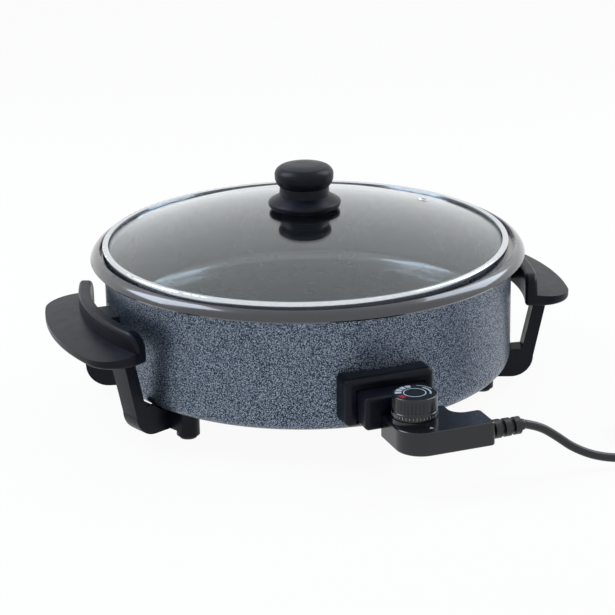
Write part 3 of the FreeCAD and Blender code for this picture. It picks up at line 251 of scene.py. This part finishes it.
# %% [markdown]
# The lid's band is rolled stainless steel with a polish. Hidden fasteners and the probe are plainer
# brushed steel, pins are nickel plated, and sockets and blades are stamped brass. All of them show
# metal, so they differ only in colour, in roughness and in the size of their marks: one function
# makes them all.

# %% Metals
METAL_LIFT = 14
ROUGH_SPREAD = 0.08


def metal(name, code, rough, mark_mm):
    """Bare metal: full reflections, broken a little by tool marks of a real size."""
    material, tree, surface, place = new_material(name, Metallic=1.0)
    marks = add_node(tree, "TexNoise", links={"Vector": place},
                     sockets={"Scale": per_metre(mark_mm), "Detail": 3.0, "Roughness": 0.7})
    colour = add_node(tree, "ValToRGB", links={"Fac": marks},
                      stops=[(0.2, code), (0.8, lighter(code, METAL_LIFT))])
    dulled = add_node(tree, "MapRange", links={"Value": marks}, sockets={
        "From Min": 0.3, "From Max": 0.7, "To Min": rough, "To Max": rough + ROUGH_SPREAD})
    connect(tree, surface, Base_Color=colour, Roughness=dulled)
    return material


polished = metal("stainless_rolled_polished", "#cfd4d9", 0.08, 3.0)
brushed = metal("steel_brushed", "#9b9da1", 0.3, 0.8)
nickel = metal("nickel_plated", "#c4c0b6", 0.14, 2.0)
brass = metal("brass_stamped", "#b48a3c", 0.22, 1.5)
print("made", polished.name, brushed.name, nickel.name, brass.name)

# %% [markdown]
# The lid is clear soda-lime glass, sagged into a mould and heat toughened. A half-transparent sheet
# would be quicker, but the lid's solid has its real 4 mm thickness, so true transmission bends light
# through both faces. Sagging leaves a very slight wave, about as wide as a thumb is long.

# %% Toughened glass
SAG_MM = 60


def toughened_glass():
    """Clear glass, faintly blue-green, with the slight wave of sagging."""
    material, tree, surface, place = new_material(
        "soda_lime_toughened_glass", Base_Color=linear("#e9f4f8"), Roughness=0.0, IOR=1.52,
        Transmission_Weight=1.0)
    sag = add_node(tree, "TexNoise", links={"Vector": place},
                   sockets={"Scale": per_metre(SAG_MM), "Detail": 1.0})
    bump = add_node(tree, "Bump", links={"Height": sag},
                    sockets={"Strength": 0.05, "Distance": 0.4 * MM})
    connect(tree, surface, Normal=bump)
    return material


clear_glass = toughened_glass()
print("made", clear_glass.name)

# %% [markdown]
# The lead's jacket and the strain relief are extruded and moulded black rubber, matt with a fine
# skin. The feet and the seal are silicone, a touch greyer and duller. A plain dark grey would do
# from afar, but the skin breaks up the highlight that runs along a round lead.

# %% Rubber
# The extruder's real skin is finer; it is drawn this coarse so that it shows
SKIN_MM = 1.1
SKIN_SPREAD = 0.1


def soft_black(name, dark, light, rough):
    """Rubber or silicone: dark and matt, with a fine skin."""
    material, tree, surface, place = new_material(name, IOR=1.5)
    skin = add_node(tree, "TexNoise", links={"Vector": place},
                    sockets={"Scale": per_metre(SKIN_MM), "Detail": 2.0})
    colour = add_node(tree, "ValToRGB", links={"Fac": skin}, stops=[(0.3, dark), (0.7, light)])
    dulled = add_node(tree, "MapRange", links={"Value": skin}, sockets={
        "From Min": 0.3, "From Max": 0.7, "To Min": rough, "To Max": rough + SKIN_SPREAD})
    bump = add_node(tree, "Bump", links={"Height": skin},
                    sockets={"Strength": 0.15, "Distance": 0.04 * MM})
    connect(tree, surface, Base_Color=colour, Roughness=dulled, Normal=bump)
    return material


jacket = soft_black("rubber_extruded_jacket", "#08090d", "#101218", 0.32)
silicone = soft_black("silicone_moulded", "#17181c", "#222329", 0.5)
print("made", jacket.name, silicone.name)

# %% [markdown]
# The dial's printing is pad ink: a pale grey-blue, and a dark red for the warning step. It could be
# painted on by a mask, but real marks are separate films, so it is a plain ink on pieces of its own,
# slightly uneven as a pad leaves it.

# %% Pad ink
WEAR_MM = 0.6
INK_LIFT = 18


def pad_ink(name, code):
    """Pad-printed ink: nearly matt, slightly uneven."""
    material, tree, surface, place = new_material(name, Roughness=0.4)
    wear = add_node(tree, "TexNoise", links={"Vector": place},
                    sockets={"Scale": per_metre(WEAR_MM), "Detail": 2.0})
    colour = add_node(tree, "ValToRGB", links={"Fac": wear},
                      stops=[(0.25, code), (0.75, lighter(code, INK_LIFT))])
    connect(tree, surface, Base_Color=colour)
    return material


pale_ink = pad_ink("pad_ink_pale", "#b4c2ca")
red_ink = pad_ink("pad_ink_red", "#8d1f2c")
print("made", pale_ink.name, red_ink.name)

# %% [markdown]
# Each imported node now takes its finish. Slots could be filled one by one; a table from finish to
# nodes shows at a glance which parts share a material, and what it doesn't list is brushed steel.
# A node's mesh and place stay as they are.

# %% Dress the nodes
FINISHES = {
    coat: ["pan"],
    paint: ["body_shell"],
    satin_phenolic: ["handle_right", "handle_left", "handle_right_boss", "handle_left_boss",
                     "socket_shroud", "knob", "control_nose"],
    gloss_phenolic: ["control_base", "control_cover", "dial"],
    polished: ["lid_band", "vent_eyelet"],
    clear_glass: ["lid_glass"],
    nickel: ["terminal_pins", "plug_pins"],
    brass: ["terminal_sockets", "contact_blade", "contact_points"],
    silicone: ["foot_pads", "knob_seal"],
    jacket: ["strain_relief", "plug_body", "coil_tie", "cord_lead", "cord_coil", "cord_tail"],
}
finish_of = {name: material for material, names in FINISHES.items() for name in names}
for name, node in nodes.items():
    node.data.materials.clear()
    node.data.materials.append(finish_of.get(name, brushed))
print("dressed", len(nodes), "nodes")

# %% [markdown]
# The mains lead is a round rubber cord, put away as a coil of four turns in two layers. Straight
# tubes could follow its route, but they look like bent wire, so it is one smooth curve. Its points
# slope down from the strain relief under the lead's own weight and run along the table; a loop gives
# the coil's points, and the last ones rise to the plug.

# %% Mains lead
CORD_DIAMETER = 8 * MM
EXIT = Vector((97.5, -279, 48.5)) * MM
COIL_AT = Vector((268, -248, 0)) * MM
COIL_RADIUS, COIL_TURNS, COIL_STEP = 44 * MM, 4, 8.8 * MM
COIL_LOW = 5.6 * MM
POINTS_A_TURN = 16
PLUG_RISE = 18.3 * MM
TAIL_RUN = 16 * MM


def coil_point(turns_done):
    """Point of the coil's centre line: in on the lower layer, out on the upper one."""
    half = COIL_TURNS / 2
    inward = min(turns_done, COIL_TURNS - turns_done)
    radius = COIL_RADIUS + COIL_STEP * half / 2 - COIL_STEP * inward
    climb = min(max((turns_done - half + 0.25) / 0.5, 0), 1)
    angle = 2 * math.pi * turns_done - math.pi / 2
    return COIL_AT + Vector((radius * math.cos(angle), radius * math.sin(angle),
                             COIL_LOW + COIL_STEP * climb))


def lead_points():
    """Control points from the strain relief to the plug."""
    count = COIL_TURNS * POINTS_A_TURN
    coil = [coil_point(COIL_TURNS * i / count) for i in range(count + 1)]
    along = Vector((0.9995, 0.032, 0))
    start = coil[0] - along * CORD_DIAMETER
    run = [(14, 0, -4), (30, -2, -15), (47, -7, -29)]
    route = [EXIT] + [EXIT + Vector(step) * MM for step in run]
    route.append(Vector((EXIT.x + 72 * MM, EXIT.y - 14 * MM, COIL_LOW + 3.5 * MM)))
    route += [start - along * 52 * MM + Vector((0, 1.5 * MM, 0)), start - along * 25 * MM, start]
    away = Vector((0.9995, -0.032, 0))
    last = coil[-1] + away * CORD_DIAMETER
    middle = last + away * 2 * TAIL_RUN + Vector((0, -1.4 * MM, 0))
    middle.z = PLUG_RISE
    return route + coil + [last, last + away * TAIL_RUN, middle, middle + Vector((TAIL_RUN, 0, 0))]


def add_lead():
    """Round rubber lead on the route, standing for the three tube nodes."""
    curve = bpy.data.curves.new("mains_lead", "CURVE")
    curve.dimensions = "3D"
    curve.bevel_depth = CORD_DIAMETER / 2
    curve.bevel_resolution = 5
    curve.resolution_u = 8
    curve.use_fill_caps = True
    points = lead_points()
    spline = curve.splines.new("NURBS")
    spline.points.add(len(points) - 1)
    for slot, spot in zip(spline.points, points):
        slot.co = (*spot, 1)
    spline.order_u = 3
    spline.use_endpoint_u = True
    lead = bpy.data.objects.new("mains_lead", curve)
    bpy.context.scene.collection.objects.link(lead)
    curve.materials.append(jacket)
    return lead


lead = add_lead()
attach(lead, "control")
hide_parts("cord_lead", "cord_coil", "cord_tail")
print("lead has", len(lead.data.splines[0].points), "control points")

# %% [markdown]
# The dial's printing is thin raised ink: a ring round a bare centre, four blocks that shorten
# from the first to the last, one red block and two arcs for the cooking range. Flat text or a
# picture would be simpler; here each mark is a circle, extruded inwards to a band, cut to its sector
# by two bisecting planes and extruded up, because then it has a real edge from every side.

# %% Dial printing
DIAL_AT = Vector((1, -258, 86)) * MM
INK_THICK = 0.12 * MM
CIRCLE_POINTS = 96
BLOCKS = 4
BLOCK_START = 166
BLOCK_APART = 22.5
BLOCK_WIDE = 17
BLOCK_INNER, BLOCK_SHRINK, BLOCK_OUTER = 11.6, 0.3, 17.4


def deselect_all():
    """Leave edit mode and select nothing."""
    if bpy.context.object and bpy.context.object.mode != "OBJECT":
        bpy.ops.object.mode_set(mode="OBJECT")
    bpy.ops.object.select_all(action="DESELECT")


def keep_sector(first, last):
    """Cut the flat band down to the part between two angles, less than half a turn apart."""
    for angle, side in ((first, 1), (last, -1)):
        outwards = Vector((math.sin(angle), -math.cos(angle), 0)) * side
        bpy.ops.mesh.select_all(action="SELECT")
        bpy.ops.mesh.bisect(plane_co=DIAL_AT, plane_no=outwards, clear_outer=True)


def ink_band(name, inner, outer, first=None, last=None, print_ink=pale_ink):
    """Band of ink on the dial: radii in millimetres, angles in degrees, a full ring without them."""
    deselect_all()
    bpy.ops.mesh.primitive_circle_add(vertices=CIRCLE_POINTS, radius=outer * MM, fill_type="NOTHING",
                                      location=DIAL_AT)
    band = bpy.context.object
    band.name = name
    bpy.ops.object.transform_apply(location=True, rotation=True, scale=True)
    bpy.ops.object.mode_set(mode="EDIT")
    bpy.ops.mesh.extrude_region_move()
    bpy.ops.transform.resize(value=(inner / outer, inner / outer, 1), center_override=DIAL_AT)
    if first is not None:
        keep_sector(math.radians(first), math.radians(last))
    bpy.ops.mesh.select_all(action="SELECT")
    bpy.ops.mesh.extrude_region_move(TRANSFORM_OT_translate={"value": (0, 0, INK_THICK)})
    bpy.ops.mesh.select_all(action="SELECT")
    bpy.ops.mesh.normals_make_consistent(inside=False)
    bpy.ops.object.mode_set(mode="OBJECT")
    band.data.materials.append(print_ink)
    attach(band, "dial_knob")


ink_band("dial_ring", 9.3, 10.2)
for number in range(BLOCKS):
    block_end = BLOCK_START - number * BLOCK_APART
    ink_band(f"dial_step_{number + 1}", BLOCK_INNER + BLOCK_SHRINK * number, BLOCK_OUTER,
             block_end - BLOCK_WIDE, block_end)
ink_band("dial_red_step", 11.6, 17.2, 184, 210, print_ink=red_ink)
ink_band("dial_range_outer", 17.0, 17.7, 8, 62)
ink_band("dial_range_inner", 13.2, 14.7, -34, 38)
print("printed", BLOCKS + 4, "marks")

# %% [markdown]
# A small pale triangle printed on the casing points at the dial. It could be cut into the casing,
# but it is only ink, so a circle of three vertices is filled, extruded by the ink's thickness and
# drawn in a little at the top.

# %% Pointer
CASE_TOP = 61 * MM
POINTER_AT = Vector((6.2 * MM, -282.4 * MM, CASE_TOP))
POINTER_FOOT, POINTER_TOP = 2.7 * MM, 2.6 * MM


def add_pointer():
    """Raised triangle of ink on the casing."""
    deselect_all()
    bpy.ops.mesh.primitive_circle_add(vertices=3, radius=POINTER_FOOT, fill_type="NGON",
                                      location=POINTER_AT)
    pointer = bpy.context.object
    pointer.name = "dial_pointer"
    bpy.ops.object.transform_apply(location=True, rotation=True, scale=True)
    bpy.ops.object.mode_set(mode="EDIT")
    bpy.ops.mesh.extrude_region_move(TRANSFORM_OT_translate={"value": (0, 0, INK_THICK)})
    drawn_in = POINTER_TOP / POINTER_FOOT
    bpy.ops.transform.resize(value=(drawn_in, drawn_in, 1), center_override=POINTER_AT)
    bpy.ops.mesh.select_all(action="SELECT")
    bpy.ops.mesh.normals_make_consistent(inside=False)
    bpy.ops.object.mode_set(mode="OBJECT")
    pointer.data.materials.append(pale_ink)
    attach(pointer, "control")


add_pointer()
print("pointer at", tuple(round(v, 4) for v in POINTER_AT))

# %% [markdown]
# Fine ticks stand round the dial's foot, and each fourth one is taller. An array could place them,
# but with two heights it is plainer to model one tick of each height, from a small plane extruded
# up, and to set copies round the dial's axis by angle and join them.

# %% Ticks
TICKS = 40
TALL_EVERY = 4
TICK_AT_HEIGHT = 68.6 * MM
TICK_RADIUS = 20.6 * MM
TICK_THICK, TICK_WIDE = 0.16 * MM, 0.45 * MM
TICK_SHORT, TICK_TALL = 1.5 * MM, 2.6 * MM


def model_tick(tall):
    """One tick at angle zero, centred on the tick height."""
    foot = Vector((DIAL_AT.x + TICK_RADIUS, DIAL_AT.y, TICK_AT_HEIGHT - tall / 2))
    deselect_all()
    bpy.ops.mesh.primitive_plane_add(size=1, location=foot)
    tick = bpy.context.object
    tick.scale = (TICK_THICK, TICK_WIDE, 1)
    bpy.ops.object.transform_apply(location=True, rotation=True, scale=True)
    bpy.ops.object.mode_set(mode="EDIT")
    bpy.ops.mesh.extrude_region_move(TRANSFORM_OT_translate={"value": (0, 0, tall)})
    bpy.ops.mesh.select_all(action="SELECT")
    bpy.ops.mesh.normals_make_consistent(inside=False)
    bpy.ops.object.mode_set(mode="OBJECT")
    return tick


def add_ticks():
    """Copies of both ticks, set round the dial and joined to one piece."""
    masters = {TICK_TALL: model_tick(TICK_TALL), TICK_SHORT: model_tick(TICK_SHORT)}
    copies = []
    for number in range(TICKS):
        master = masters[TICK_SHORT if number % TALL_EVERY else TICK_TALL]
        tick = master.copy()
        tick.data = master.data.copy()
        turn = Matrix.Rotation(2 * math.pi * number / TICKS, 4, "Z")
        tick.data.transform(Matrix.Translation(DIAL_AT) @ turn @ Matrix.Translation(-DIAL_AT))
        bpy.context.scene.collection.objects.link(tick)
        copies.append(tick)
    for master in masters.values():
        bpy.data.objects.remove(master)
    deselect_all()
    for tick in copies:
        tick.select_set(True)
    bpy.context.view_layer.objects.active = copies[0]
    bpy.ops.object.join()
    scale_marks = bpy.context.object
    scale_marks.name = "dial_ticks"
    scale_marks.data.materials.append(pale_ink)
    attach(scale_marks, "dial_knob")


add_ticks()
print("set", TICKS, "ticks")

# %% [markdown]
# The studio is a pale sheet of paper, a white surround and two soft boxes, one at each side, which
# leave the long highlights on the lip. The background could be made white with stronger lamps, but
# that would burn out the paint. So it is only shown white, directly, in gloss and through glass,
# while the skillet itself is lit at a plain level and its shadow stays on the paper.

# %% Stage and light
FLOOR_SIZE = 6.0
FLOOR_DROP = 0.0004
PAPER_WHITE = 0.94
SURROUND_LIGHT = 0.33
SOFTBOX_WIDE, SOFTBOX_TALL = 0.8, 1.1
SOFTBOX_AIM = Vector((0, 0, 0.1))


def background_view(tree):
    """One where a ray shows the background: seen directly, in a gloss or through glass."""
    rays = add_node(tree, "LightPath").outputs
    shown = rays["Is Camera Ray"]
    for kind in ("Is Glossy Ray", "Is Transmission Ray"):
        shown = add_node(tree, "Math", operation="MAXIMUM", links={0: shown, 1: rays[kind]})
    return shown


def add_floor():
    """White paper that shows nearly white and still takes the skillet's shadow."""
    deselect_all()
    bpy.ops.mesh.primitive_plane_add(size=FLOOR_SIZE, location=(0, 0, -FLOOR_DROP))
    floor = bpy.context.object
    floor.name = "studio_floor"
    bpy.ops.object.transform_apply(location=True, rotation=True, scale=True)
    material, tree, surface, _ = new_material("paper_sweep", Base_Color=linear("#f4f5f6"),
                                              Roughness=0.9)
    white = add_node(tree, "Emission", sockets={"Color": linear("#ffffff")})
    share = add_node(tree, "Math", operation="MULTIPLY", links={0: background_view(tree)},
                     sockets={1: PAPER_WHITE})
    paper = add_node(tree, "MixShader", links={0: share, 1: surface, 2: white})
    connect(tree, tree.nodes["Material Output"], Surface=paper)
    floor.data.materials.append(material)


def add_world():
    """Plain white background; as a light it is dimmer, so colours render about as written."""
    world = bpy.data.worlds.new("studio")
    bpy.context.scene.world = world
    world.use_nodes = True
    tree = world.node_tree
    level = add_node(tree, "MapRange", links={"Value": background_view(tree)},
                     sockets={"To Min": SURROUND_LIGHT, "To Max": 1.0})
    surround = add_node(tree, "Background", sockets={"Color": linear("#ffffff")},
                        links={"Strength": level})
    connect(tree, tree.nodes["World Output"], Surface=surround)


def add_softbox(name, spot, power):
    """Rectangular lamp that faces the skillet."""
    data = bpy.data.lights.new(name, "AREA")
    data.shape = "RECTANGLE"
    data.size = SOFTBOX_WIDE
    data.size_y = SOFTBOX_TALL
    data.energy = power
    data.color = linear("#e6f0ff")[:3]
    lamp = bpy.data.objects.new(name, data)
    bpy.context.scene.collection.objects.link(lamp)
    lamp.location = spot
    lamp.rotation_euler = (SOFTBOX_AIM - Vector(spot)).to_track_quat("-Z", "Y").to_euler()


add_floor()
add_world()
add_softbox("softbox_left", (-1.02, 0.51, 1.25), 18)
add_softbox("softbox_right", (1.25, 0.1, 1.15), 13)
bpy.context.scene.view_settings.view_transform = "Standard"
print("stage set")
